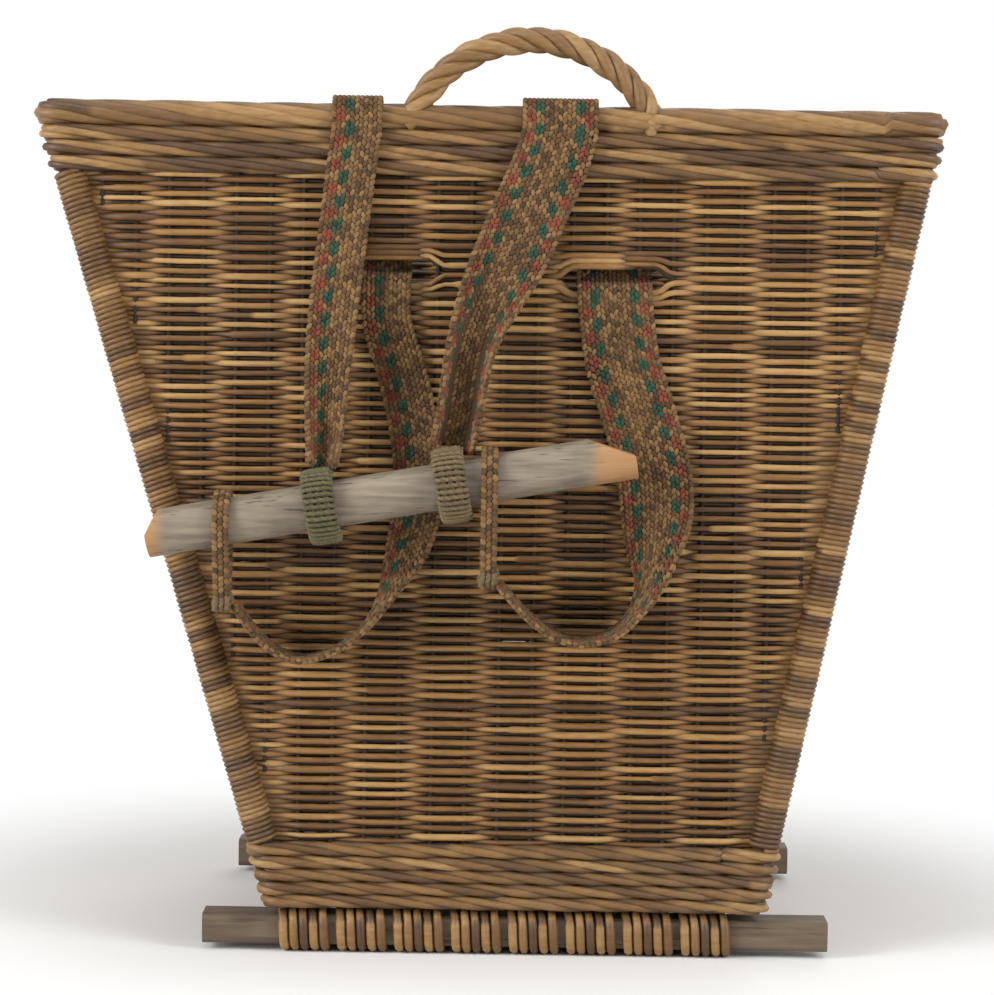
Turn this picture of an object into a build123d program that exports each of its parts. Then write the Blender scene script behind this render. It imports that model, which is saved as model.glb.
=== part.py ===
"""Willow back basket with two woven carrying straps and a wooden toggle stick.

X runs along the strap wall, Y goes from the strap wall to the far wall, Z is up.
The basket stands on its two lashed runners at z = 0.
"""
import math
import os

from build123d import *

# Basket body, measured on the middle plane of each wall (the stake plane)
foot_left = -130.0
foot_right = 177.5
foot_depth = 286.0
rim_half_width = 283.0
rim_depth = 350.0
foot_z = 30.0
rim_z = 545.0

# Walls
stake_dia = 3.0
stake_pitch = 21.8
weave_thickness = 3.5
fit = 0.3
upsett_height = 43.0
top_wale_height = 28.0
wale_bulge = 2.5
border_height = 14.0
border_outer = 10.0
border_inner = 10.0
border_round = 3.0

# Corner posts and the weave that wraps round them
post_dia = 14.0
wrap_thickness = 3.5

# Base
base_stick_dia = 8.0
base_stick_count = 9

# Runners and their lashings
runner_width = 28.0
runner_height = 20.0
runner_left = -182.0
runner_right = 230.0
runner_inset = 12.0
runner_round = 4.0
lash_dia = 5.0
lash_turns = 24
lash_left = -128.0
lash_right = 168.0
lash_flat = 0.5

# Handle on the border of the strap wall
handle_left = -49.0
handle_right = 103.0
handle_rise = 46.0
handle_core_dia = 9.0
handle_rope_dia = 17.0

# Straps
strap_width = 50.0
strap_thickness = 3.0
strap_hem = 15.0
slot_height = 12.0
slot_clear = 4.0

# Toggle stick
stick_dia = 30.0
stick_length = 315.6
stick_middle_x = -60.0
stick_middle_z = 305.0
stick_tilt = 10.1
stick_gap = 36.0
stick_short_facet = 14.0
stick_long_facet = 40.0

# Loops at the strap ends
upper_loop_width = 16.0
upper_loop_thickness = 4.0
whip_dia = 2.2
whip_clear = 0.45
whip_turns = 20
whip_pitch_deg = 9.6
lower_loop_width = 13.0
lower_loop_thickness = 4.0
right_lower_drop = 62.0
left_lower_drop = 50.0

# Heights of the bands of weave
upsett_top = foot_z + upsett_height
border_bottom = rim_z - border_height / 2
border_top = rim_z + border_height / 2
wale_bottom = border_bottom - top_wale_height

# Layers, as distances from the stake plane
stake_layer = stake_dia / 2 + 0.1
weave_face = stake_layer + weave_thickness
wale_face = weave_face + wale_bulge
wrap_radius = post_dia / 2 + fit + wrap_thickness

loop_inner = stick_dia / 2 + fit
loop_depth = 2 * whip_dia + upper_loop_thickness + 2 * whip_clear
front_reach = weave_face + stick_gap + loop_inner + loop_depth

# The origin lies midway between the loops in front and the far border
strap_plane_y = (front_reach - rim_depth - border_outer) / 2
panel_y = strap_plane_y - weave_face


def share(z):
    """How far up the wall a height lies, from 0 at the foot to 1 at the rim."""
    return (z - foot_z) / (rim_z - foot_z)


def left_x(z):
    return foot_left + (-rim_half_width - foot_left) * share(z)


def right_x(z):
    return foot_right + (rim_half_width - foot_right) * share(z)


def far_y(z):
    return strap_plane_y + foot_depth + (rim_depth - foot_depth) * share(z)


def rectangle_at(z, x0, x1, y0, y1):
    """A level rectangle between two X and two Y values."""
    middle = Pos((x0 + x1) / 2, (y0 + y1) / 2, z)
    return middle * Rectangle(x1 - x0, y1 - y0)


def plan(z, reach):
    """The basket's plan at a height, grown outward by reach."""
    return rectangle_at(z, left_x(z) - reach, right_x(z) + reach, strap_plane_y - reach, far_y(z) + reach)


def tapered_block(levels):
    """One block through the basket's plans at (height, reach) pairs."""
    return loft([plan(z, reach) for z, reach in levels], ruled=True)


def tapered_ring(z0, z1, inner, outer):
    """A ring of wall between two heights and two reaches."""
    return tapered_block([(z0, outer), (z1, outer)]) - tapered_block([(z0, inner), (z1, inner)])


def leaning_rod(start, end, dia):
    """A rod with level ends that leans from one point to another."""
    run = Vector(*end) - Vector(*start)
    return extrude(Pos(*start) * Circle(dia / 2), amount=run.length, dir=run.normalized())


def straight_rod(start, end, dia):
    """A rod with square ends between two points."""
    run = Vector(*end) - Vector(*start)
    return extrude(Plane(origin=start, z_dir=run.normalized()) * Circle(dia / 2), amount=run.length)


def write(name, *shapes):
    """Write one node as a STEP file of its separate solids."""
    solids = [solid for shape in shapes for solid in shape.solids()]
    node = solids[0] if len(solids) == 1 else Compound(children=solids)
    node.label = name
    export_step(node, f"parts/{name}.step")
    print(name, len(solids), "solids", round(sum(solid.volume for solid in solids)), "mm3")


# Corner posts

def corner(name, z):
    """The middle of a corner post at a height."""
    side, end = name
    x = left_x(z) if end == "left" else right_x(z)
    y = strap_plane_y if side == "strap" else far_y(z)
    return (x, y, z)


corners = [("strap", "left"), ("strap", "right"), ("far", "left"), ("far", "right")]


def post_between(name, z0, z1, dia):
    return leaning_rod(corner(name, z0), corner(name, z1), dia)


def clear_of_posts(shape, z0, z1):
    """Cut the room that the four corner posts need."""
    for name in corners:
        shape -= post_between(name, z0 - 1, z1 + 1, post_dia + 2 * fit)
    return shape


def write_corners():
    for name in corners:
        label = f"{name[0]}_{name[1]}"
        write(f"corner_post_{label}", post_between(name, foot_z, border_bottom, post_dia))
        sleeve = post_between(name, upsett_top, wale_bottom, 2 * wrap_radius)
        sleeve -= post_between(name, upsett_top - 1, wale_bottom + 1, post_dia + 2 * fit)
        write(f"corner_weave_{label}", sleeve)


# Straps: where they lie

left_slot_x = -66.0
left_slot_z = 449.0
right_slot_x = 82.0
right_slot_z = 445.0
left_rim_x = -86.0
right_rim_x = 45.0

strap_lift = fit + strap_thickness / 2
hinge_z = border_bottom
hinge_y = strap_plane_y - border_outer - strap_lift
stick_y = panel_y - stick_gap
slot_width = strap_width + 2 * slot_clear


def slot_block(x, z):
    """The opening in the strap wall that a strap passes through."""
    return Pos(x, strap_plane_y, z) * Box(slot_width, 4 * weave_face, slot_height)


def slots():
    return [slot_block(left_slot_x, left_slot_z), slot_block(right_slot_x, right_slot_z)]


# Walls

corner_room_strap = wrap_radius * math.hypot(1, (rim_half_width + foot_left) / (rim_z - foot_z)) + fit
corner_room = wrap_radius * math.hypot(1, (rim_depth - foot_depth) / (rim_z - foot_z)) + 2 * fit


def wall_skin(wall, inner, outer):
    """One layer of a wall, between two reaches from the stake plane."""
    sections = []
    for z in (upsett_top, wale_bottom):
        if wall == "strap":
            box = (left_x(z) + corner_room_strap, right_x(z) - corner_room_strap,
                   strap_plane_y - outer, strap_plane_y - inner)
        elif wall == "far":
            box = (left_x(z) + corner_room_strap, right_x(z) - corner_room_strap,
                   far_y(z) + inner, far_y(z) + outer)
        elif wall == "left":
            box = (left_x(z) - outer, left_x(z) - inner,
                   strap_plane_y + corner_room, far_y(z) - corner_room)
        else:
            box = (right_x(z) + inner, right_x(z) + outer,
                   strap_plane_y + corner_room, far_y(z) - corner_room)
        sections.append(rectangle_at(z, *box))
    return loft(sections, ruled=True)


def wall_weave(wall):
    outer_skin = wall_skin(wall, stake_layer, weave_face)
    inner_skin = wall_skin(wall, -weave_face, -stake_layer)
    if wall == "strap":
        for slot in slots():
            outer_skin -= slot
            inner_skin -= slot
    return [outer_skin, inner_skin]


def start_height(offset, low, high):
    """Where a stake first fits between the corner posts as the wall widens."""
    for step in range(41):
        z = foot_z + (border_bottom - foot_z) * step / 40
        if low(z) <= offset <= high(z):
            return z
    return None


def long_wall_stakes(wall):
    """Upright stakes of the strap wall or the far wall."""
    room = corner_room_strap + stake_dia / 2 + fit
    count = int(rim_half_width / stake_pitch) + 1
    stakes = []
    for index in range(-count, count):
        x = (index + 0.5) * stake_pitch
        z = start_height(x, lambda h: left_x(h) + room, lambda h: right_x(h) - room)
        if z is None or border_bottom - z < 2 * stake_pitch:
            continue
        y0, y1 = (strap_plane_y, strap_plane_y) if wall == "strap" else (far_y(z), far_y(border_bottom))
        stake = leaning_rod((x, y0, z), (x, y1, border_bottom), stake_dia)
        if wall == "strap":
            for slot in slots():
                stake -= slot
        stakes.extend(stake.solids())
    return stakes


def side_wall_stakes(wall):
    """Stakes of the left or right wall, which lean outward."""
    room = corner_room + stake_dia / 2 + fit
    place = left_x if wall == "left" else right_x
    stakes = []
    for index in range(int(rim_depth / stake_pitch)):
        y = strap_plane_y + (index + 1) * stake_pitch
        z = start_height(y, lambda h: strap_plane_y + room, lambda h: far_y(h) - room)
        if z is None or border_bottom - z < 2 * stake_pitch:
            continue
        stakes.append(leaning_rod((place(z), y, z), (place(border_bottom), y, border_bottom), stake_dia))
    return stakes


def write_walls():
    for wall in ("strap", "far", "left", "right"):
        write(f"{wall}_wall_weave", *wall_weave(wall))
        stakes = long_wall_stakes(wall) if wall in ("strap", "far") else side_wall_stakes(wall)
        write(f"{wall}_wall_stakes", *stakes)


# Wales and border

def wale(z0, z1):
    """Heavier weave outside and inside the stakes, clear of the posts."""
    outer = tapered_ring(z0, z1, stake_layer, wale_face)
    for name in corners:
        outer += post_between(name, z0, z1, 2 * wrap_radius) - tapered_block([(z0, stake_layer), (z1, stake_layer)])
    inner = tapered_ring(z0, z1, -weave_face, -stake_layer)
    return [clear_of_posts(outer, z0, z1), clear_of_posts(inner, z0, z1)]


def border_solid():
    """The rolled border on top of the walls, cut for the handle's bow."""
    low = border_bottom
    high = border_top
    step = border_round
    outer = tapered_block([(low, border_outer - step), (low + step, border_outer),
                           (high - step, border_outer), (high, border_outer - step)])
    inner = tapered_block([(low, -border_inner + step), (low + step, -border_inner),
                           (high - step, -border_inner), (high, -border_inner + step)])
    return outer - inner - handle_bow(handle_core_dia + fit)


# Handle

def handle_path():
    """A low arch that dips into the border at both ends."""
    half = (handle_right - handle_left) / 2
    middle = (handle_left + handle_right) / 2
    radius = (half ** 2 + handle_rise ** 2) / (2 * handle_rise)
    spread = math.degrees(math.asin((half + border_height / 2) / radius))
    centre = Plane(origin=(middle, strap_plane_y, border_top + handle_rise - radius), x_dir=(1, 0, 0), z_dir=(0, -1, 0))
    return centre * CenterArc((0, 0), radius, 90 - spread, 2 * spread)


def handle_bow(dia):
    """The bent rod of the handle, cut level with the underside of the border."""
    path = handle_path()
    rod = sweep(Plane(origin=path @ 0, z_dir=path % 0) * Circle(dia / 2), path=path)
    below = Pos(0, strap_plane_y, border_bottom - handle_rise) * Box(2 * rim_half_width, rim_depth, 2 * handle_rise)
    return rod - below


def handle_rope():
    """The twisted rods round the bow, down to the top of the border."""
    path = handle_path()
    start = Plane(origin=path @ 0, z_dir=path % 0)
    tube = sweep(start * Circle(handle_rope_dia / 2), path=path)
    bore = sweep(start * Circle(handle_core_dia / 2 + fit / 2), path=path)
    below = Pos(0, strap_plane_y, border_top - handle_rise) * Box(2 * rim_half_width, rim_depth, 2 * handle_rise)
    return tube - bore - below


# Base

def write_base():
    """Base sticks between two layers of weave, inside the upsett."""
    reach = -weave_face - fit
    stick_low = foot_z + weave_thickness
    stick_high = stick_low + base_stick_dia
    write("base_weave",
          tapered_block([(foot_z, reach), (stick_low, reach)]),
          tapered_block([(stick_high, reach), (stick_high + weave_thickness, reach)]))
    middle_z = stick_low + base_stick_dia / 2
    first = left_x(stick_low) - reach + base_stick_dia
    last = right_x(stick_low) + reach - base_stick_dia
    sticks = []
    for index in range(base_stick_count):
        x = first + (last - first) * index / (base_stick_count - 1)
        start = (x, strap_plane_y - reach, middle_z)
        end = (x, far_y(stick_low) + reach, middle_z)
        sticks.append(straight_rod(start, end, base_stick_dia))
    write("base_sticks", *sticks)


# Runners and lashings

runner_z = lash_dia - lash_flat + runner_height / 2
runner_places = {"strap": strap_plane_y + runner_inset, "far": strap_plane_y + foot_depth - runner_inset}


def runner(y):
    bar = Pos((runner_left + runner_right) / 2, y, runner_z)
    bar *= Box(runner_right - runner_left, runner_width, runner_height)
    bar = fillet(bar.edges().filter_by(Axis.X), runner_round)
    return bar


def winding_path(corner_points, turns, round_radius):
    """A winding: corner points for each turn, joined by runs with rounded corners."""
    points = [point for turn in range(turns) for point in corner_points(turn)]
    return FilletPolyline(*points, radius=round_radius)


def least_self_gap(path, turn_length, dia, samples):
    """The least gap between neighbouring turns, measured on points along the path."""
    places = [path @ (index / samples) for index in range(samples + 1)]
    skip = int(samples * 0.5 * turn_length / path.length)
    least = min((places[i] - places[j]).length
                for i in range(0, len(places), 3)
                for j in range(i + skip, min(i + 3 * skip, len(places))))
    return least - dia


def lashing(y):
    """Willow lashing wound round a runner, cut flat where the basket stands."""
    half_y = runner_width / 2 + lash_dia / 2
    low = runner_z - runner_height / 2 - lash_dia / 2
    high = runner_z + runner_height / 2 + lash_dia / 2
    pitch = (lash_right - lash_left) / lash_turns

    def corners_of(turn):
        x = lash_left + pitch * turn
        half = x + pitch / 2
        return [(x, y + half_y, high), (x, y - half_y, high), (half, y - half_y, low), (half, y + half_y, low)]

    path = winding_path(corners_of, lash_turns, lash_dia)
    tube = sweep(Plane(origin=path @ 0, z_dir=path % 0) * Circle(lash_dia / 2), path=path)
    turn_length = path.length / lash_turns
    print("lashing gap", round(least_self_gap(path, turn_length, lash_dia, 2400), 2), "mm")
    floor_cut = Pos(0, y, -lash_dia) * Box(2 * rim_half_width, 4 * runner_width, 2 * lash_dia)
    return tube - floor_cut


def write_runners():
    for name, y in runner_places.items():
        write(f"{name}_runner", runner(y))
        write(f"{name}_runner_lashing", lashing(y))


# Strap bands

def fold_outline(curl, width):
    """A strap's section: a flat middle with two hems turned up by curl degrees."""
    half = width / 2 - strap_hem
    angle = math.radians(curl)
    tip_u = half + strap_hem * math.cos(angle)
    tip_v = strap_hem * math.sin(angle)
    middle = [(-tip_u, tip_v), (-half, 0.0), (half, 0.0), (tip_u, tip_v)]
    normals = [(math.sin(angle), math.cos(angle)), (math.tan(angle / 2), 1.0),
               (-math.tan(angle / 2), 1.0), (-math.sin(angle), math.cos(angle))]
    reach = strap_thickness / 2
    front = [(u + reach * a, v + reach * b) for (u, v), (a, b) in zip(middle, normals)]
    back = [(u - reach * a, v - reach * b) for (u, v), (a, b) in zip(middle, normals)]
    return front + back[::-1]


def skin(outlines):
    """A closed solid through outlines that have the same number of corners, in triangles."""
    faces = [Face(Wire.make_polygon(outline, close=True)) for outline in (outlines[0], outlines[-1])]
    for first, second in zip(outlines, outlines[1:]):
        for index in range(len(first)):
            after = (index + 1) % len(first)
            faces.append(Face(Wire.make_polygon([first[index], first[after], second[after]], close=True)))
            faces.append(Face(Wire.make_polygon([first[index], second[after], second[index]], close=True)))
    return Solid(Shell(faces))


def band(stations, width=strap_width):
    """A woven band through (x, y, z, turn, curl) stations, level at its first end.

    The band faces -Y where turn is 0 and turns about its own path.
    """
    points = [Vector(x, y, z) for x, y, z, turn, curl in stations]
    outlines = []
    for index, (x, y, z, turn, curl) in enumerate(stations):
        before = points[max(index - 1, 0)]
        after = points[min(index + 1, len(points) - 1)]
        tangent = (after - before).normalized() if index else Vector(0, 0, -1)
        across = Vector(0, -1, 0).cross(tangent)
        across = across.normalized().rotate(Axis((0, 0, 0), tuple(tangent)), turn)
        facing = tangent.cross(across)
        outlines.append([points[index] + across * u + facing * v for u, v in fold_outline(curl, width)])
    return skin(outlines)


# Places along the toggle stick

stick_axis = Vector(math.cos(math.radians(stick_tilt)), 0, math.sin(math.radians(stick_tilt)))
stick_middle = Vector(stick_middle_x, stick_y, stick_middle_z)


def on_stick(x):
    """The point of the stick's axis at an X value."""
    return stick_middle + stick_axis * ((x - stick_middle_x) / stick_axis.X)


def toggle_stick():
    """A hewn round stick with a cut facet at each end."""
    start = stick_middle - stick_axis * (stick_length / 2)
    end = stick_middle + stick_axis * (stick_length / 2)
    stick = straight_rod(tuple(start), tuple(end), stick_dia)
    for place, facet, sign in ((start, stick_short_facet, -1), (end, stick_long_facet, 1)):
        slope = math.degrees(math.atan2(stick_dia * 0.7, facet))
        cut = Pos(*place) * Rot(0, -stick_tilt + sign * slope, 0)
        stick -= cut * Pos(0, 0, stick_dia) * Box(6 * stick_dia, 2 * stick_dia, 2 * stick_dia)
    return stick


# Straps, one row of stations each, in millimetres from the panel's own places

thick_half = strap_thickness / 2
close_y = panel_y - fit - thick_half
inside_y = strap_plane_y + wale_face + fit + thick_half
over_border_y = strap_plane_y + border_inner + fit + thick_half
top_z = border_top + fit + thick_half


def saddle(rim_x, slot_x, slot_z, width):
    """Out of the slot on the inside, up the wall and over the border to the hinge line."""
    turn_in = border_round + (2 - math.sqrt(2)) * strap_lift
    stations = [
        (rim_x, hinge_y, hinge_z + thick_half + fit, 0, 0),
        (rim_x, hinge_y, top_z - turn_in, 0, 0),
        (rim_x, hinge_y + turn_in, top_z, 0, 0),
        (rim_x, over_border_y - turn_in, top_z, 0, 0),
        (rim_x, over_border_y, top_z - turn_in, 0, 0),
        (rim_x, over_border_y, border_bottom, 0, 0),
        (slot_x, inside_y, slot_z + 2 * slot_height, 0, 0),
        (slot_x, inside_y, slot_z + slot_height / 2, 0, 0),
    ]
    return flat_band(stations, width)


def flat_band(stations, width):
    """A band that only bends square to its width: one outline in the YZ plane per station."""
    points = [Vector(x, y, z) for x, y, z, turn, curl in stations]
    sections = []
    for index, point in enumerate(points):
        before = (point - points[index - 1]).normalized() if index else None
        after = (points[index + 1] - point).normalized() if index + 1 < len(points) else None
        before = before or after
        after = after or before
        along = (before + after).normalized()
        level = Vector(0, along.Y, along.Z).normalized()
        facing = Vector(0, -level.Z, level.Y)
        level_before = Vector(0, before.Y, before.Z).normalized()
        mitre = 1 / max(level.dot(level_before), 0.5)
        reach = facing * (thick_half * mitre)
        side = Vector(width / 2, 0, 0)
        outline = [point - side + reach, point + side + reach, point + side - reach, point - side - reach]
        sections.append(Face(Wire.make_polygon(outline, close=True)))
    return loft(sections, ruled=True)


def neck(slot_x, slot_z, width):
    """The short length of strap that passes through the slot."""
    low = slot_z - slot_height / 2 + fit
    slot_bend = 0.8 * thick_half
    stations = [
        (slot_x, inside_y, slot_z + slot_height / 2 - fit, 0, 0),
        (slot_x, inside_y, low + 2 * strap_thickness, 0, 0),
        (slot_x, strap_plane_y + stake_dia, low + thick_half, 0, 0),
        (slot_x, close_y + slot_bend, low + thick_half, 0, 0),
        (slot_x, close_y, low + thick_half - slot_bend, 0, 0),
        (slot_x, close_y, low - 2 * strap_thickness, 0, 0),
    ]
    return flat_band(stations, width)


def front_branch(rim_x, width, stations):
    """From the hinge line down to the loop in front of the stick."""
    pin = Pos(rim_x, hinge_y, hinge_z) * Rot(0, 90, 0) * Cylinder(thick_half, width)
    top = [(rim_x, hinge_y, hinge_z, 0, 0)]
    clear_stick = ring_on_stick(stations[-1][0], 0, loop_inner + loop_depth + fit, 3 * width)
    return band(top + stations, width) + pin - clear_stick


# Loops at the strap ends


def ring_on_stick(x, inner, outer, width):
    """A ring round the stick, square to it."""
    plane = Plane(origin=tuple(on_stick(x) - stick_axis * (width / 2)), z_dir=tuple(stick_axis))
    ring = extrude(plane * Circle(outer), amount=width)
    return ring - extrude(plane * Circle(inner), amount=width) if inner else ring


def upper_loop(x):
    """The folded strap end that goes round the stick, without its whipping."""
    inner = loop_inner + whip_dia + whip_clear
    return ring_on_stick(x, inner, inner + upper_loop_thickness, upper_loop_width)


def whipping(x):
    """The cord wound round the front of an upper loop."""
    inner = loop_inner + whip_dia / 2
    outer = inner + whip_dia + upper_loop_thickness + 2 * whip_clear
    half = upper_loop_width / 2 + whip_dia / 2 + whip_clear
    plane = Plane(origin=tuple(on_stick(x)), x_dir=(0, -1, 0), z_dir=tuple(stick_axis))

    def corners_of(turn):
        places = [(inner, -half, 0), (outer, -half, 0), (outer, half, 0.5), (inner, half, 0.5)]
        points = []
        for radius, along, part in places:
            angle = math.radians(whip_pitch_deg * (turn + part - whip_turns / 2))
            points.append(tuple(plane.from_local_coords(
                (radius * math.cos(angle), radius * math.sin(angle), along))))
        return points

    path = winding_path(corners_of, whip_turns, whip_dia)
    tube = sweep(Plane(origin=path @ 0, z_dir=path % 0) * Circle(whip_dia / 2), path=path)
    turn_length = path.length / whip_turns
    print("whipping gap", round(least_self_gap(path, turn_length, whip_dia, 2000), 2), "mm")
    return tube


def drop_outline(top_radius, low_radius, drop):
    """A teardrop: a large circle above, a small one below, and the two tangents."""
    lean = math.asin((top_radius - low_radius) / drop)
    sin_lean = math.sin(lean)
    cos_lean = math.cos(lean)
    right_top = (top_radius * cos_lean, -top_radius * sin_lean)
    right_low = (low_radius * cos_lean, -drop - low_radius * sin_lean)
    left_top = (-right_top[0], right_top[1])
    left_low = (-right_low[0], right_low[1])
    outline = [
        ThreePointArc(right_top, (0, top_radius), left_top),
        Line(left_top, left_low),
        ThreePointArc(left_low, (0, -drop - low_radius), right_low),
        Line(right_low, right_top),
    ]
    return make_face(outline)


def lower_loop(x, drop):
    """The narrow loop that hangs over the stick from above."""
    rise = lower_loop_width / 2 * math.tan(math.radians(stick_tilt))
    inner_radius = stick_dia / 2 / math.cos(math.radians(stick_tilt)) + rise + fit
    knot = lower_loop_thickness
    outline = drop_outline(inner_radius + lower_loop_thickness, knot + 1, drop)
    hole = drop_outline(inner_radius, 1, drop - 2 * knot)
    place = on_stick(x)
    plane = Plane(origin=(x - lower_loop_width / 2, place.Y, place.Z), x_dir=(0, 1, 0), z_dir=(1, 0, 0))
    return extrude(plane * (outline - hole), amount=lower_loop_width)


def write_straps():
    """Both straps. Stations are x, y, z, turn about the path and curl of the hems."""
    behind_y = close_y - fit
    edge_y = panel_y - strap_width / 2 - 2 * fit
    left_width = 34.0
    upper_z = stick_dia / 2 + loop_depth

    right_loop_x = -21.0
    right_top_z = on_stick(right_loop_x).Z + upper_z
    write("right_strap_saddle", saddle(right_rim_x, right_slot_x, right_slot_z, strap_width))
    write("right_strap_neck", neck(right_slot_x, right_slot_z, strap_width))
    write("right_strap_front", front_branch(right_rim_x, strap_width, [
        (39.0, hinge_y - 2, 518.0, 0, 0),
        (28.0, hinge_y - 4, 492.0, 0, 0),
        (15.0, hinge_y - 8, 460.0, 0, 15),
        (0.0, hinge_y - 13, 428.0, 0, 50),
        (-11.0, hinge_y - 18, 396.0, 0, 74),
        (-17.0, hinge_y - 22, right_top_z + 18, 0, 80),
        (right_loop_x, stick_y + strap_hem / 2, right_top_z - strap_thickness, 0, 80),
    ]))
    write("right_strap_tail", band([
        (right_slot_x, close_y, right_slot_z - slot_height, 0, 0),
        (84.0, behind_y, 416.0, 0, 0),
        (88.0, behind_y, 390.0, 0, 0),
        (95.0, behind_y, 369.0, 0, 0),
        (102.0, behind_y, 347.0, 0, 0),
        (108.0, behind_y - 2, 326.0, 4, 0),
        (111.0, behind_y - 4, 306.0, 8, 0),
        (111.5, behind_y - 13, 284.0, 30, 0),
        (109.0, edge_y + 1, 260.0, 62, 0),
        (101.0, edge_y, 236.0, 83, 0),
        (84.0, edge_y, 217.0, 90, 0),
        (58.0, edge_y, 212.0, 90, 0),
        (33.0, edge_y, 224.0, 90, 0),
        (11.5, edge_y, 246.0, 90, 0),
    ]))

    left_loop_x = -104.0
    left_top_z = on_stick(left_loop_x).Z + upper_z
    write("left_strap_saddle", saddle(left_rim_x, left_slot_x, left_slot_z, left_width))
    write("left_strap_neck", neck(left_slot_x, left_slot_z, left_width))
    write("left_strap_front", front_branch(left_rim_x, left_width, [
        (-89.0, hinge_y - 2, 515.0, 0, 0),
        (-94.0, hinge_y - 5, 470.0, 0, 0),
        (-99.0, hinge_y - 9, 425.0, 0, 10),
        (-102.0, hinge_y - 14, 380.0, 0, 30),
        (-103.0, hinge_y - 19, left_top_z + 16, 0, 50),
        (left_loop_x, stick_y + strap_hem / 3, left_top_z - strap_thickness, 0, 60),
    ]))
    write("left_strap_tail", band([
        (left_slot_x, close_y, left_slot_z - slot_height, 0, 0),
        (-65.0, behind_y, 414.0, 0, 0),
        (-57.0, behind_y, 388.0, 0, 0),
        (-50.0, behind_y, 362.0, 0, 0),
        (-45.0, behind_y - 2, 333.0, 4, 0),
        (-43.5, behind_y - 3, 308.0, 8, 0),
        (-45.0, behind_y - 4, 288.0, 10, 0),
        (-51.0, behind_y - 11, 264.0, 38, 0),
        (-61.0, edge_y + 7, 242.0, 70, 0),
        (-76.0, edge_y + 7, 218.0, 87, 0),
        (-97.0, edge_y + 7, 202.0, 90, 0),
        (-121.0, edge_y + 7, 197.0, 90, 0),
        (-143.0, edge_y + 7, 209.0, 90, 0),
        (-159.4, edge_y + 7, 230.0, 90, 0),
    ], left_width))

    for side, x in (("right", right_loop_x), ("left", left_loop_x)):
        write(f"{side}_upper_loop", upper_loop(x))
        write(f"{side}_upper_whipping", whipping(x))
    write("right_lower_loop", lower_loop(3.0, right_lower_drop))
    write("left_lower_loop", lower_loop(-167.0, left_lower_drop))


os.makedirs("parts", exist_ok=True)
write_corners()
write_walls()
write("upsett_wale", *wale(foot_z, upsett_top))
write("top_wale", *wale(wale_bottom, border_bottom))
write("border", border_solid())
write("handle_bow", handle_bow(handle_core_dia))
write("handle_rope", handle_rope())
write_base()
write_runners()
write_straps()
write("toggle_stick", toggle_stick())
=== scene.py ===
# %% [markdown]
# # A willow back basket
# The construction comes from a imported CAD frame. This file dresses it: every willow rod, strap stitch
# and cord turn is made here as real geometry. The frame is loaded first.

# %% Load the frame
import math
import random

import bpy
from mathutils import Matrix, Vector


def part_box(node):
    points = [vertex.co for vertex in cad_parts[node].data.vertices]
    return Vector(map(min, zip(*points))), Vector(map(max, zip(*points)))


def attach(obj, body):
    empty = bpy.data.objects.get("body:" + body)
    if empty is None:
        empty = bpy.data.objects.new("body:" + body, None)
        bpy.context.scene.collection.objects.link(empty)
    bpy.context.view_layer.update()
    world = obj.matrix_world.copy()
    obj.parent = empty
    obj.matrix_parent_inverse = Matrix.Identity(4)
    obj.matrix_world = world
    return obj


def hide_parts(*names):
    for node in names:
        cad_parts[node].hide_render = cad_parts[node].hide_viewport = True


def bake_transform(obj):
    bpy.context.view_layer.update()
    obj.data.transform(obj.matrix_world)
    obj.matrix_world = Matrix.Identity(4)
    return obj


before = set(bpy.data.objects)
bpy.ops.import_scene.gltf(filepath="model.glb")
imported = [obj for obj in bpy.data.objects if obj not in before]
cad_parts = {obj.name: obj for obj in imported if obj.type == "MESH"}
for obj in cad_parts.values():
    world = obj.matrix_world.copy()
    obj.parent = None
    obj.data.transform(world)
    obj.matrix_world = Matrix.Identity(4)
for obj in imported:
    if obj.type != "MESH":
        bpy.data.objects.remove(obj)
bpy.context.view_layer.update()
MM = 0.001
HALF_TURN = math.pi
FULL_TURN = 2 * math.pi

# %% [markdown]
# ## Sizes that the frame doesn't carry
# A few places are needed for the rods. They repeat the CAD model's driving dimensions, or are read
# from a node's box. The stake plane is the middle of a wall: the stakes stand in it.

# %% Basket sizes
border_low, border_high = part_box("border")
foot_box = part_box("upsett_wale")
STRAP_Y = border_low[1] + 10 * MM
FOOT_Z = foot_box[0][2]
RIM_Z = 545 * MM
FOOT_LEFT = -130 * MM
FOOT_RIGHT = 177.5 * MM
RIM_HALF = 283 * MM
FOOT_DEPTH = 286 * MM
RIM_DEPTH = 350 * MM
STAKE_PITCH = 21.8 * MM
UPSETT_TOP = 73 * MM
WALE_BOTTOM = 510 * MM
BORDER_TOP = border_high[2]


def share(z):
    return (z - FOOT_Z) / (RIM_Z - FOOT_Z)


def left_x(z):
    return FOOT_LEFT + (-RIM_HALF - FOOT_LEFT) * share(z)


def right_x(z):
    return FOOT_RIGHT + (RIM_HALF - FOOT_RIGHT) * share(z)


def far_y(z):
    return STRAP_Y + FOOT_DEPTH + (RIM_DEPTH - FOOT_DEPTH) * share(z)


print("stake plane of the strap wall at y =", round(STRAP_Y, 4))

# %% [markdown]
# ## One way to write node maths
# Both shader trees and geometry trees use the same Math nodes. This small class wraps a socket, so
# that an expression such as `1 - mask * 0.5` adds the nodes for us. `Tree.add` makes any other node.

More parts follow.
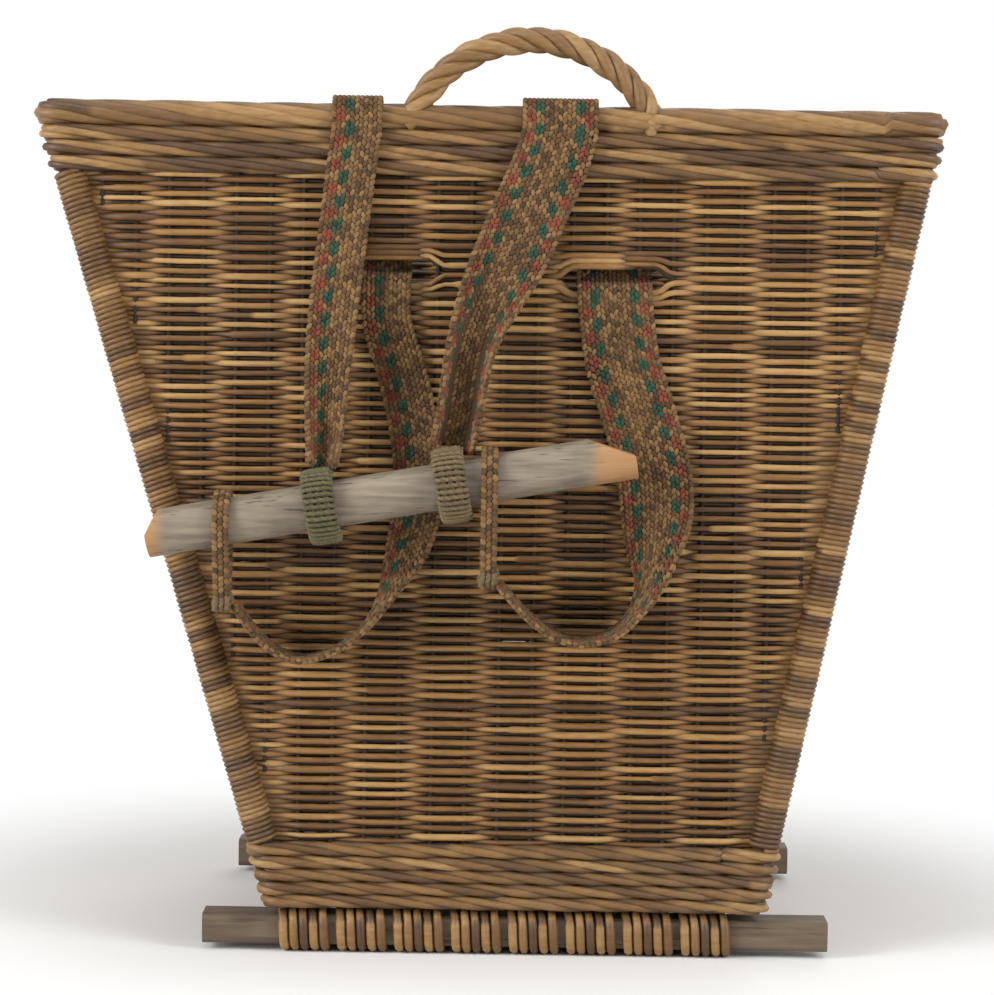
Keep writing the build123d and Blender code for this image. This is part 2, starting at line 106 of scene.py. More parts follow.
# %% Node helpers
class Value:
    """A number that lives in a node tree."""

    def __init__(self, tree, socket):
        self.tree = tree
        self.socket = socket

    def math(self, operation, *others):
        node = self.tree.nodes.new("ShaderNodeMath")
        node.operation = operation
        for socket, item in zip(node.inputs, (self,) + others):
            put(self.tree, socket, item)
        return Value(self.tree, node.outputs[0])

    def __add__(self, other):
        return self.math("ADD", other)

    def __sub__(self, other):
        return self.math("SUBTRACT", other)

    def __rsub__(self, other):
        return self * -1 + other

    def __mul__(self, other):
        return self.math("MULTIPLY", other)

    def __truediv__(self, other):
        return self.math("DIVIDE", other)

    __radd__ = __add__
    __rmul__ = __mul__

    def clamp(self):
        return self.math("MAXIMUM", 0.0).math("MINIMUM", 1.0)

    def step(self, low, high):
        """Rise smoothly from 0 at low to 1 at high."""
        part = ((self - low) / (high - low)).clamp()
        return part * part * (3 - 2 * part)


def put(tree, socket, item):
    """Link a value or a socket, or set a constant."""
    if isinstance(item, Value):
        item = item.socket
    if isinstance(item, bpy.types.NodeSocket):
        tree.links.new(item, socket)
    else:
        socket.default_value = item


class Tree:
    """Adds nodes to a tree: a type, its settings, then its inputs by index or name."""

    def __init__(self, tree):
        self.tree = tree

    def add(self, kind, settings=None, inputs=None):
        node = self.tree.nodes.new(kind)
        for name, setting in (settings or {}).items():
            setattr(node, name, setting)
        for key, item in (inputs or {}).items():
            put(self.tree, node.inputs[key], item)
        return node

    def value(self, socket):
        return Value(self.tree, socket)

    def vector(self, operation, *items):
        node = self.add("ShaderNodeVectorMath", {"operation": operation})
        for key, item in enumerate(items):
            put(self.tree, node.inputs[3 if operation == "SCALE" and key == 1 else key], item)
        return node.outputs["Value" if operation == "DOT_PRODUCT" else "Vector"]

    def join(self, x, y, z):
        return self.add("ShaderNodeCombineXYZ", inputs={0: x, 1: y, 2: z}).outputs[0]

    def split(self, vector):
        node = self.add("ShaderNodeSeparateXYZ", inputs={0: vector})
        return [self.value(socket) for socket in node.outputs]

    def noise(self, vector, scale, detail=2.0):
        node = self.add("ShaderNodeTexNoise", inputs={"Vector": vector, "Scale": scale, "Detail": detail})
        return self.value(node.outputs[0])


# %% [markdown]
# ## Materials
# Each rod, stitch or cord turn carries a number called `tone`, written by the tree that makes it.
# The materials read it, so neighbouring rods differ as cut willow does. Fine streaks come from noise
# on object coordinates, and they also feed the bump.

# %% Material helpers
def new_material(name, slot, roughness, sheen=0.0):
    """An empty principled material, its tree helper and its shader."""
    material = bpy.data.materials.new(name)
    material.use_nodes = True
    helper = Tree(material.node_tree)
    shader = material.node_tree.nodes["Principled BSDF"]
    shader.inputs["Roughness"].default_value = roughness
    shader.inputs["Sheen Weight"].default_value = sheen
    material["slot"] = slot
    return material, helper, shader


def ramp(helper, factor, stops):
    """Colours along a factor; each stop is (place, (r, g, b))."""
    node = helper.add("ShaderNodeValToRGB", inputs={0: factor})
    elements = node.color_ramp.elements
    while len(elements) < len(stops):
        elements.new(0.5)
    for element, (place, colour) in zip(elements, stops):
        element.position = place
        element.color = (*colour, 1.0)
    return node.outputs[0]


def mix_colour(helper, factor, first, second, blend="MIX"):
    node = helper.add("ShaderNodeMix", {"data_type": "RGBA", "blend_type": blend})
    for key, item in ((0, factor), (6, first), (7, second)):
        put(helper.tree, node.inputs[key], item)
    return node.outputs[2]


def attribute(helper, name):
    return helper.value(helper.add("ShaderNodeAttribute", {"attribute_name": name}).outputs["Fac"])


def object_place(helper):
    return helper.add("ShaderNodeTexCoord").outputs["Object"]


def finish(helper, shader, colour, height, strength, distance):
    """Link a colour and a bump to the shader."""
    put(helper.tree, shader.inputs["Base Color"], colour)
    bump = helper.add("ShaderNodeBump", inputs={"Strength": strength, "Distance": distance, "Height": height})
    put(helper.tree, shader.inputs["Normal"], bump.outputs[0])


# %% [markdown]
# ### Willow
# Peeled willow that was boiled in its bark is golden brown and goes darker and greyer with age.
# `tone` picks the rod's own colour. Painted shade darkens what lies deep in the weave, fine specks add
# real dirt, and a broad noise gives the greyer patches.

# %% Willow materials
def willow(name, stops, slot="willow", grey=0.35, roughness=0.5):
    material, helper, shader = new_material(name, slot, roughness)
    place = object_place(helper)
    tone = attribute(helper, "tone")
    weave_light = attribute(helper, "weave_light")
    streak = helper.noise(helper.vector("MULTIPLY", place, (1.0, 1.0, 5.0)), 95.0, 4.0)
    blotch = helper.noise(place, 9.0, 3.0)
    speck = helper.noise(place, 420.0, 2.0)
    colour = ramp(helper, (tone * 0.8 + streak * 0.5 - 0.15).clamp(), stops)
    worn = (blotch.step(0.5, 0.72) * grey).clamp()
    colour = mix_colour(helper, worn, colour, (0.13, 0.090, 0.050, 1.0))
    # Painted shade: the rod goes near black where it lies deep in the weave; the specks on top are real dirt.
    recess_shade_and_specks = ((1 - weave_light) * 0.92 + speck.step(0.62, 0.8) * 0.3).clamp()
    colour = mix_colour(helper, recess_shade_and_specks, colour, (0.016, 0.008, 0.003, 1.0))
    put(helper.tree, shader.inputs["Roughness"], (streak * 0.25 + (roughness - 0.1)))
    finish(helper, shader, colour, streak * 0.7 + speck * 0.5, 0.35, 0.0006)
    return material


WILLOW_STOPS = [(0.0, (0.060, 0.024, 0.005)), (0.3, (0.150, 0.066, 0.015)), (0.62, (0.285, 0.142, 0.038)),
                (1.0, (0.47, 0.285, 0.105))]
WALE_STOPS = [(0.0, (0.045, 0.019, 0.005)), (0.4, (0.125, 0.059, 0.016)), (0.75, (0.23, 0.120, 0.037)),
              (1.0, (0.37, 0.220, 0.085))]
willow_rods = willow("willow_rods", WILLOW_STOPS, grey=0.15)
willow_heavy = willow("willow_heavy", WALE_STOPS, grey=0.2)
# Painted shade: the stakes get a darker willow, as they stand in the shade behind the rods. The CAD stakes
# carry none of the rods' attributes, so the recess shade in the material darkens them nearly to black.
SHADED_STAKE_STOPS = [(0.0, (0.050, 0.025, 0.009)), (1.0, (0.16, 0.085, 0.032))]
shaded_willow_stakes = willow("shaded_willow_stakes", SHADED_STAKE_STOPS, grey=0.2, roughness=0.85)

# %% [markdown]
# ## The weave of a wall
# Each row is one rod that goes in front of two stakes and behind the next two, and the row above does
# the opposite. So a row is a wave, and a wall is the same curve repeated. A geometry tree does this:
# one line, resampled, duplicated once a row, and moved by an expression. Its inputs are the wall's
# four corners and the sizes of the rods.

# %% Geometry tree helpers
def new_geometry_tree(name, inputs):
    """A tree with named inputs. Each input is (name, type, default)."""
    tree = bpy.data.node_groups.new(name, "GeometryNodeTree")
    tree.interface.new_socket("Geometry", in_out="INPUT", socket_type="NodeSocketGeometry")
    tree.interface.new_socket("Geometry", in_out="OUTPUT", socket_type="NodeSocketGeometry")
    for label, kind, default in inputs:
        socket = tree.interface.new_socket(label, in_out="INPUT", socket_type="NodeSocket" + kind)
        if default is not None:
            socket.default_value = default
    helper = Tree(tree)
    return helper, helper.add("NodeGroupInput"), helper.add("NodeGroupOutput")


def close_tree(helper, group_in, group_out, geometry):
    """Realize what was made, give it its material and hand it on."""
    smooth = helper.add("GeometryNodeSetShadeSmooth", inputs={0: geometry})
    real = helper.add("GeometryNodeRealizeInstances", inputs={0: smooth.outputs[0]})
    painted = helper.add("GeometryNodeSetMaterial",
                         inputs={0: real.outputs[0], "Material": group_in.outputs["Material"]})
    put(helper.tree, group_out.inputs[0], painted.outputs[0])


def store(helper, geometry, name, value, domain="POINT"):
    node = helper.add("GeometryNodeStoreNamedAttribute", {"data_type": "FLOAT", "domain": domain},
                      {0: geometry, "Name": name, "Value": value})
    return node.outputs[0]


def stored(helper, name, data_type="FLOAT"):
    """A value that an earlier step stored on the geometry."""
    return helper.add("GeometryNodeInputNamedAttribute", {"data_type": data_type}, {0: name}).outputs[0]


def random_number(helper, low, high, identity, seed):
    node = helper.add("FunctionNodeRandomValue", {"data_type": "FLOAT"},
                      {2: low, 3: high, "ID": identity, "Seed": seed})
    return helper.value(node.outputs[1])


def tube_round(helper, curve, radius, sides):
    """Sweep a circle along curves, with a radius that varies along them."""
    sized = helper.add("GeometryNodeSetCurveRadius", inputs={0: curve, 2: radius})
    circle = helper.add("GeometryNodeCurvePrimitiveCircle", inputs={0: sides, 4: 1.0})
    thickness = helper.add("GeometryNodeInputRadius")
    mesh = helper.add("GeometryNodeCurveToMesh",
                      inputs={0: sized.outputs[0], 1: circle.outputs[0], 2: thickness.outputs[0], 3: True})
    return mesh.outputs[0]


def run_tree(name, helper, settings, source=None):
    """Run a geometry tree on an object and keep the result as a plain mesh."""
    data = source or bpy.data.meshes.new(name)
    carrier = bpy.data.objects.new(name + ".source", data)
    bpy.context.collection.objects.link(carrier)
    modifier = carrier.modifiers.new("make", "NODES")
    modifier.node_group = helper.tree
    sockets = {item.name: item for item in helper.tree.interface.items_tree
               if item.item_type == "SOCKET" and item.in_out == "INPUT"}
    for label, value in settings.items():
        modifier[sockets[label].identifier] = value
    bpy.context.view_layer.update()
    evaluated = carrier.evaluated_get(bpy.context.evaluated_depsgraph_get())
    mesh = bpy.data.meshes.new_from_object(evaluated)
    bpy.data.objects.remove(carrier)
    piece = bpy.data.objects.new(name, mesh)
    bpy.context.collection.objects.link(piece)
    print(name, len(mesh.polygons), "faces")
    return piece


# %% The tree of a woven wall
ROW_RISE = 3.15 * MM
ROD_RADIUS = 2.05 * MM
ROD_WAVE = 2.45 * MM
ROD_LENGTH = 0.62
ALL_ROWS = 140
SLOTS = [(-66 * MM, 449 * MM), (82 * MM, 445 * MM)]
SLOT_SIDE, SLOT_END = 27 * MM, 38 * MM
SLOT_REACH = 17 * MM
SLOT_HALF = 7.5 * MM


def woven_wall_tree():
    floats = [("Along pitch", 2 * STAKE_PITCH), ("Phase", 0.0), ("Row pitch", ROW_RISE),
              ("Rod radius", ROD_RADIUS), ("Wave", ROD_WAVE), ("Rod length", ROD_LENGTH)]
    vectors = ("Low start", "Low end", "High start", "High end", "Outward", "Along")
    inputs = [(name, "Vector", None) for name in vectors]
    inputs += [(name, "Float", default) for name, default in floats]
    inputs += [("Rows", "Int", ALL_ROWS), ("First row", "Int", 0), ("All rows", "Int", ALL_ROWS),
               ("Samples", "Int", 120), ("Sides", "Int", 6), ("Seed", "Int", 1),
               ("Slots", "Float", 0.0), ("Material", "Material", None)]
    helper, group, output = new_geometry_tree("woven_wall", inputs)
    get = group.outputs
    number = lambda name: helper.value(get[name])

    line = helper.add("GeometryNodeCurvePrimitiveLine", inputs={0: (0, 0, 0), 1: (1, 0, 0)})
    samples = helper.add("GeometryNodeResampleCurve", inputs={0: line.outputs[0], "Count": get["Samples"]})
    rows = helper.add("GeometryNodeDuplicateElements", {"domain": "SPLINE"},
                      {0: samples.outputs[0], 2: get["Rows"]})
    row = helper.value(rows.outputs[1]) + number("First row")
    curve = store(helper, rows.outputs[0], "row", row)
    row = helper.value(stored(helper, "row"))

    u = helper.split(helper.add("GeometryNodeInputPosition").outputs[0])[0]
    v = (row + 0.5) / number("All rows")

    def between(first, second, factor):
        node = helper.add("ShaderNodeMix", {"data_type": "VECTOR"}, {0: factor, 4: first, 5: second})
        return node.outputs[1]

    start = between(get["Low start"], get["High start"], v)
    end = between(get["Low end"], get["High end"], v)
    place = between(start, end, u)
    s = helper.value(helper.vector("DOT_PRODUCT", place, get["Along"]))
    s_start = helper.value(helper.vector("DOT_PRODUCT", start, get["Along"]))
    s_end = helper.value(helper.vector("DOT_PRODUCT", end, get["Along"]))
    edge = (s - s_start).math("MINIMUM", s_end - s)
    fade = edge.step(10 * MM, 30 * MM)

    wave = (s / number("Along pitch") * HALF_TURN + row * HALF_TURN + number("Phase")).math("COSINE")
    wave = (wave * 1.35).math("MINIMUM", 1.0).math("MAXIMUM", -1.0)
    drift = helper.noise(helper.join(s * 6.0, row * 0.37, number("Seed")), 2.0, 3.0) - 0.5
    lift = helper.noise(helper.join(s * 11.0, row * 5.3, number("Seed")), 2.0, 2.0) - 0.5
    out = wave * number("Wave") * fade + (fade - 1) * 1.2 * MM + drift * 1.6 * MM

    # A new rod starts after each rod length, thick at its butt and thin at its tip
    shift = random_number(helper, 0.0, 1.0, row, get["Seed"])
    part = s / number("Rod length") + shift * 3.0 + 8.0
    piece = part.math("FLOOR")
    taper = part - piece
    tone = random_number(helper, 0.0, 1.0, row * 17.0 + piece * 3.0, get["Seed"])
    thickness = random_number(helper, 0.86, 1.12, row * 11.0 + piece * 5.0, get["Seed"])
    radius = number("Rod radius") * thickness * (1.14 - 0.3 * taper)

    x, y, z = helper.split(place)
    z = z + lift * 1.5 * MM
    for slot_x, slot_z in SLOTS:
        # Rods part above and below the slot that a strap comes through
        near = 1 - (x - slot_x).math("ABSOLUTE").step(SLOT_SIDE, SLOT_END)
        above = z - slot_z
        away = above.math("ABSOLUTE")
        pushed = (away / SLOT_REACH).math("MINIMUM", 1.0) * (SLOT_REACH - SLOT_HALF) + SLOT_HALF
        inside = 1 - (away / SLOT_REACH).math("FLOOR").clamp()
        moved = above.math("SIGN") * pushed - above
        z = z + moved * near * inside * number("Slots")
    outward = helper.vector("SCALE", get["Outward"], out)
    place = helper.vector("ADD", helper.join(x, y, z), outward)
    # Painted shade: 1 where the rod stands out in front of the stakes, falling to 0 where it passes behind
    # them.
    weave_light = (wave * fade * 0.5 + 0.5).step(0.05, 0.75)

    curve = store(helper, curve, "tone", tone)
    curve = store(helper, curve, "weave_light", weave_light)
    curve = store(helper, curve, "thick", radius)
    moved = helper.add("GeometryNodeSetPosition", inputs={0: curve, 2: place})
    tubes = tube_round(helper, moved.outputs[0], stored(helper, "thick"), get["Sides"])
    close_tree(helper, group, output, tubes)
    return helper


# %% [markdown]
# The tree is run for each wall. The strap wall is nearest and is made in two halves, with rounder rods.
# The rods stop at the corner posts, where the corner weave takes over. A wall's rods replace its CAD
# plates, which stay in the frame for collision, hidden.

# %% Weave the four walls
wall_tree = woven_wall_tree()


def wall_corners(wall, z):
    """The two ends of a wall's stake plane at a height."""
    if wall == "strap":
        return (left_x(z), STRAP_Y, z), (right_x(z), STRAP_Y, z)
    if wall == "far":
        return (left_x(z), far_y(z), z), (right_x(z), far_y(z), z)
    x = left_x(z) if wall == "left" else right_x(z)
    return (x, STRAP_Y, z), (x, far_y(z), z)


OUTWARD = {"strap": (0, -1, 0), "far": (0, 1, 0), "left": (-1, 0, 0), "right": (1, 0, 0)}


def weave_wall(wall, name, first_row, rows, samples, sides, seed):
    low_start, low_end = wall_corners(wall, UPSETT_TOP)
    high_start, high_end = wall_corners(wall, WALE_BOTTOM)
    long_wall = wall in ("strap", "far")
    piece = run_tree(name, wall_tree, {
        "Low start": low_start, "Low end": low_end, "High start": high_start, "High end": high_end,
        "Outward": OUTWARD[wall], "Along": (1.0, 0.0, 0.0) if long_wall else (0.0, 1.0, 0.0),
        "Phase": -HALF_TURN / 2 if long_wall else -STRAP_Y / STAKE_PITCH * HALF_TURN,
        "Rows": rows, "First row": first_row, "All rows": ALL_ROWS, "Samples": samples, "Sides": sides,
        "Seed": seed, "Slots": 1.0 if wall == "strap" else 0.0, "Material": willow_rods,
    })
    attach(piece, "root")
    return piece


strap_low = weave_wall("strap", "strap_wall_rods_low", 0, 70, 104, 6, 3)
weave_wall("strap", "strap_wall_rods_high", 70, 70, 118, 6, 3)
far_rods = weave_wall("far", "far_wall_rods", 0, ALL_ROWS, 110, 5, 5)
left_rods = weave_wall("left", "left_wall_rods", 0, ALL_ROWS, 70, 5, 7)
right_rods = weave_wall("right", "right_wall_rods", 0, ALL_ROWS, 70, 5, 9)
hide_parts("strap_wall_weave")
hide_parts("far_wall_weave")
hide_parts("left_wall_weave")
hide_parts("right_wall_weave")

# %% [markdown]
# ## Rods that twist along a path
# The wales, the border, the handle and the cord whippings are all the same idea: a few strands that
# wind round a path. One tree makes them. Each copy of the path is pushed sideways and up by the
# cosine and sine of an angle that grows along the path, so a flat ellipse gives a wale and a circle
# gives a rope.

# %% The tree of twisted rods
def twisted_tree(normal_mode):
    floats = [("Lay", 60 * MM), ("Across", 4 * MM), ("Up", 3 * MM), ("Radius", 2.4 * MM), ("Step", 4 * MM),
              ("Rod length", 0.5), ("Unevenness", 0.6 * MM), ("Shade", 0.5)]
    inputs = [(name, "Float", default) for name, default in floats]
    inputs += [("Strands", "Int", 3), ("Sides", "Int", 7), ("Seed", "Int", 1), ("Material", "Material", None)]
    helper, group, output = new_geometry_tree("twisted_" + normal_mode.lower(), inputs)
    get = group.outputs
    number = lambda name: helper.value(get[name])
    even = helper.add("GeometryNodeResampleCurve", {"mode": "LENGTH"},
                      {0: get["Geometry"], "Length": get["Step"]})
    turned = helper.add("GeometryNodeSetCurveNormal", {"mode": normal_mode}, {0: even.outputs[0]})
    copies = helper.add("GeometryNodeDuplicateElements", {"domain": "SPLINE"},
                        {0: turned.outputs[0], 2: get["Strands"]})
    curve = store(helper, copies.outputs[0], "strand", helper.value(copies.outputs[1]))
    strand = helper.value(stored(helper, "strand"))
    along = helper.value(helper.add("GeometryNodeSplineParameter").outputs[1])
    angle = along / number("Lay") * FULL_TURN + strand / number("Strands") * FULL_TURN
    normal = helper.add("GeometryNodeInputNormal").outputs[0]
    tangent = helper.add("GeometryNodeInputTangent").outputs[0]
    upward = helper.vector("CROSS_PRODUCT", tangent, normal)
    wander = (helper.noise(helper.join(along * 9.0, strand * 3.1, number("Seed")), 3.0, 2.0) - 0.5) * 2.0
    across = angle.math("COSINE") * number("Across") + wander * number("Unevenness")
    up = angle.math("SINE") * number("Up") + wander * number("Unevenness") * 0.5
    offset = helper.vector("ADD", helper.vector("SCALE", normal, across), helper.vector("SCALE", upward, up))
    part = along / number("Rod length") + random_number(helper, 0.0, 1.0, strand, get["Seed"])
    piece = part.math("FLOOR")
    tone = random_number(helper, 0.0, 1.0, strand * 13.0 + piece * 7.0, get["Seed"])
    radius = number("Radius") * (1.1 - 0.2 * (part - piece))
    # Painted shade: each strand is darkened, by the amount Shade, where it is at the top or bottom of its
    # turn, tucked between its neighbours.
    bright = angle.math("COSINE").math("ABSOLUTE").step(0.0, 0.8)
    curve = store(helper, curve, "tone", tone)
    curve = store(helper, curve, "weave_light", 1 - number("Shade") * (1 - bright))
    curve = store(helper, curve, "thick", radius)
    moved = helper.add("GeometryNodeSetPosition", inputs={0: curve, 3: offset})
    tubes = tube_round(helper, moved.outputs[0], stored(helper, "thick"), get["Sides"])
    close_tree(helper, group, output, tubes)
    return helper


level_twist = twisted_tree("Z_UP")
free_twist = twisted_tree("MINIMUM_TWIST")


def path_curve(name, paths, closed=False):
    """A curve of straight runs through points; several paths give several splines."""
    data = bpy.data.curves.new(name, "CURVE")
    data.dimensions = "3D"
    for points in paths:
        spline = data.splines.new("POLY")
        spline.points.add(len(points) - 1)
        for item, point in zip(spline.points, points):
            item.co = (*point, 1.0)
        spline.use_cyclic_u = closed
    return data


def twisted(name, helper, paths, body, slot, closed=False, **settings):
    labels = {key.replace("_", " ").capitalize(): value for key, value in settings.items()}
    piece = run_tree(name, helper, labels, path_curve(name + ".path", paths, closed))
    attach(piece, body)
    return piece


# %% [markdown]
# ## Wales and border
# A wale is woven with four or five rods at once, so it's heavier than the wall and lies over the
# stakes. It goes right round the basket, round the corner posts. The border is rolled from the
# stake ends, with thicker rods.

# %% Wales, border and corner weave
def round_plan(z, reach, wrap):
    """The basket's plan at a height as points, swelling round each corner post."""
    x0, x1 = left_x(z), right_x(z)
    y0, y1 = STRAP_Y, far_y(z)
    points = []
    for x, y, first in ((x1, y0, -90), (x1, y1, 0), (x0, y1, 90), (x0, y0, 180)):
        arrive, leave = math.radians(first), math.radians(first + 90)
        points.append((x + reach * math.cos(arrive) - CORNER_RUN * math.cos(leave),
                       y + reach * math.sin(arrive) - CORNER_RUN * math.sin(leave), z))
        for step in range(5):
            angle = math.radians(first + 90 * step / 4)
            points.append((x + wrap * math.cos(angle), y + wrap * math.sin(angle), z))
        points.append((x + reach * math.cos(leave) - CORNER_RUN * math.cos(arrive),
                       y + reach * math.sin(leave) - CORNER_RUN * math.sin(arrive), z))
    return points


CORNER_RUN = 24 * MM
CORNER_WRAP = 7 * MM
WALE_REACH = 2.5 * MM
BORDER_WRAP = 3 * MM


def wale_rows(name, low, high, rows, node, seed, **settings):
    paths = []
    for row in range(rows):
        z = low + (high - low) * (row + 0.5) / rows
        points = round_plan(z, WALE_REACH, CORNER_WRAP)
        start = (row * 7) % len(points)
        paths.append(points[start:] + points[:start])
    piece = twisted(name, level_twist, paths, "root", "willow", closed=True, material=willow_heavy,
                    seed=seed, **settings)
    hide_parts(node)


FOOT_WALE_LOW = 30.5 * MM
RIM_WALE_TOP = 539 * MM
BORDER_MIDDLE = 547 * MM
wale_rows("foot_wale_rods", FOOT_WALE_LOW, UPSETT_TOP, 5, "upsett_wale", 21, lay=112 * MM,
          across=3.6 * MM, up=2.5 * MM, radius=2.7 * MM, strands=4, shade=0.75, step=5 * MM)
wale_rows("rim_wale_rods", WALE_BOTTOM, RIM_WALE_TOP, 3, "top_wale", 23, lay=170 * MM,
          across=4.0 * MM, up=3.2 * MM, radius=2.6 * MM, strands=5, shade=0.7, step=6 * MM)
border_rods = twisted(
    "border_rods", level_twist, [round_plan(BORDER_MIDDLE, 0.0, BORDER_WRAP)], "root", "willow", closed=True,
    material=willow_heavy, seed=29, lay=260 * MM, across=6.0 * MM, up=5.2 * MM, radius=3.9 * MM,
    strands=7, shade=0.6, step=6 * MM, rod_length=0.7)
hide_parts("border")


def corner_line(side, end, low, high):
    points = []
    for z in (low, high):
        x = left_x(z) if end == "left" else right_x(z)
        y = STRAP_Y if side == "strap" else far_y(z)
        points.append((x, y, z))
    return points


CORNERS = [("strap", "left"), ("strap", "right"), ("far", "left"), ("far", "right")]
for index, (side, end) in enumerate(CORNERS):
    wrap = twisted(
        f"corner_rods_{side}_{end}", level_twist, [corner_line(side, end, UPSETT_TOP, WALE_BOTTOM)], "root",
        "willow", material=willow_heavy, seed=31 + index, lay=3.4 * MM, across=9.0 * MM, up=9.0 * MM,
        radius=1.9 * MM, strands=1, step=0.26 * MM, sides=5, shade=0.0, rod_length=0.0068,
        unevenness=0.9 * MM)
    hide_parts(f"corner_weave_{side}_{end}")

# %% [markdown]
# ## Base
# The base is woven flat, over and under nine sticks. It's the wall's tree laid on its side: its rows
# run along the basket, and its outward direction is down.

# %% Base rods
BASE_STICKS = 9
BASE_ROWS = 76
BASE_STICK_RADIUS = 4 * MM
sticks_low, sticks_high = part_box("base_sticks")
base_low, base_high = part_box("base_weave")
base_z = (sticks_low[2] + sticks_high[2]) / 2
first_stick = sticks_low[0] + BASE_STICK_RADIUS
base_pitch = (sticks_high[0] - BASE_STICK_RADIUS - first_stick) / (BASE_STICKS - 1)
base_rods = run_tree("base_rods", wall_tree, {
    "Low start": (base_low[0], base_low[1], base_z), "Low end": (base_high[0], base_low[1], base_z),
    "High start": (base_low[0], base_high[1], base_z), "High end": (base_high[0], base_high[1], base_z),
    "Outward": (0, 0, -1), "Along": (1, 0, 0), "Along pitch": base_pitch,
    "Phase": -first_stick / base_pitch * HALF_TURN, "Wave": 5.2 * MM, "Rows": BASE_ROWS, "First row": 0,
    "All rows": BASE_ROWS, "Samples": 60, "Sides": 5, "Seed": 13, "Slots": 0.0, "Material": willow_rods})
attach(base_rods, "root")
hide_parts("base_weave")

# %% [markdown]
# ## Handle
# The handle is a bent bow rod with four long rods twisted round it. Its path is the same low arch as
# in the frame, and its ends go a little way into the border.

# %% Handle
HANDLE_LEFT = -49 * MM
HANDLE_RIGHT = 103 * MM
HANDLE_RISE = 46 * MM


def handle_arch():
    half = (HANDLE_RIGHT - HANDLE_LEFT) / 2
    middle = (HANDLE_LEFT + HANDLE_RIGHT) / 2
    radius = (half ** 2 + HANDLE_RISE ** 2) / (2 * HANDLE_RISE)
    spread = math.asin((half + 5 * MM) / radius)
    centre_z = BORDER_TOP + HANDLE_RISE - radius
    steps = 24
    angles = [spread * (1 - 2 * step / steps) for step in range(steps + 1)]
    return [(middle - radius * math.sin(angle), STRAP_Y, centre_z + radius * math.cos(angle))
            for angle in angles]


handle_rods = twisted(
    "handle_rods", level_twist, [handle_arch()], "root", "willow", material=willow_heavy, seed=41,
    lay=62 * MM, across=4.9 * MM, up=4.9 * MM, radius=3.9 * MM, strands=4, shade=0.0, step=2 * MM,
    rod_length=3.0, sides=10, unevenness=0.5 * MM)
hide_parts("handle_rope")

# %% [markdown]
# ## Runners and lashings
# Two split rods of weathered wood carry the basket. Each is lashed on with willow, wound in groups
# of five turns close round the rod. A loop works out the turns.

# %% Lashings
def lashing_path(node, runner_node):
    low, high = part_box(runner_node)
    start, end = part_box(node)[0][0] - 4 * MM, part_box(node)[1][0] + 3 * MM
    middle_y = (low[1] + high[1]) / 2
    half_y = (high[1] - low[1]) / 2 + 2.4 * MM
    middle_z = 14.6 * MM
    half_z = 11.9 * MM
    groups, turns, steps = 8, 5, 22
    group_pitch = (end - start) / groups
    strand_pitch = 6.6 * MM
    paths = []
    for group in range(groups):
        points = []
        first = start + group * group_pitch + 3 * MM
        for step in range(turns * steps + 1):
            angle = FULL_TURN * step / steps
            y = math.copysign(abs(math.cos(angle)) ** 0.45, math.cos(angle)) * half_y
            z = math.copysign(abs(math.sin(angle)) ** 0.45, math.sin(angle)) * half_z
            points.append((first + strand_pitch * step / steps, middle_y + y, middle_z + z))
        paths.append(points)
    return paths


for side in ("strap", "far"):
    windings = lashing_path(f"{side}_runner_lashing", f"{side}_runner")
    lashing = twisted(
        f"{side}_lashing_rods", free_twist, windings, "root", "willow", material=willow_heavy, seed=51,
        lay=1.0, across=0.0, up=0.0, radius=2.95 * MM, strands=1, shade=0.0, step=3 * MM,
        rod_length=0.1, unevenness=0.0)
    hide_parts(f"{side}_runner_lashing")

# %% [markdown]
# ## Wood of the runners and the stick
# The runners are grey-brown and checked along the grain. The stick is hewn, darkened by hands, and
# pale orange where its ends were cut. Both keep their CAD shape and get a material with long grain.

# %% Wood materials
def long_wood(name, slot, dark, light, cut_from, cut_to, roughness):
    material, helper, shader = new_material(name, slot, roughness)
    place = object_place(helper)
    grain = helper.noise(helper.vector("MULTIPLY", place, (1.0, 12.0, 12.0)), 22.0, 5.0)
    crack = helper.noise(helper.vector("MULTIPLY", place, (0.6, 16.0, 16.0)), 30.0, 3.0)
    blotch = helper.noise(place, 28.0, 3.0)
    colour = ramp(helper, (grain * 0.8 + blotch * 0.5 - 0.15).clamp(), [(0.2, dark), (0.75, light)])
    colour = mix_colour(helper, crack.step(0.62, 0.7) * 0.8, colour, (0.03, 0.02, 0.014, 1.0))
    x = helper.split(place)[0]
    fresh = (1 - x.step(cut_from - 12 * MM, cut_from)) + x.step(cut_to, cut_to + 12 * MM)
    colour = mix_colour(helper, (fresh * 0.8).clamp(), colour, (0.42, 0.205, 0.070, 1.0))
    finish(helper, shader, colour, grain - crack.step(0.6, 0.7) * 0.6, 0.6, 0.0012)
    return material


def paint_node(name, material):
    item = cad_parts[name]
    item = item if isinstance(item, bpy.types.Object) else bpy.data.objects[name]
    item.data.materials.clear()
    item.data.materials.append(material)


runner_wood = long_wood("runner_wood", "weathered_wood", (0.045, 0.030, 0.018), (0.17, 0.120, 0.075),
                        -1.0, 1.0, 0.7)
stick_wood = long_wood("stick_wood", "hewn_wood", (0.085, 0.068, 0.048), (0.30, 0.245, 0.175),
                       -201 * MM, 64 * MM, 0.55)
for name in ("strap_runner", "far_runner"):
    paint_node(name, runner_wood)
paint_node("toggle_stick", stick_wood)
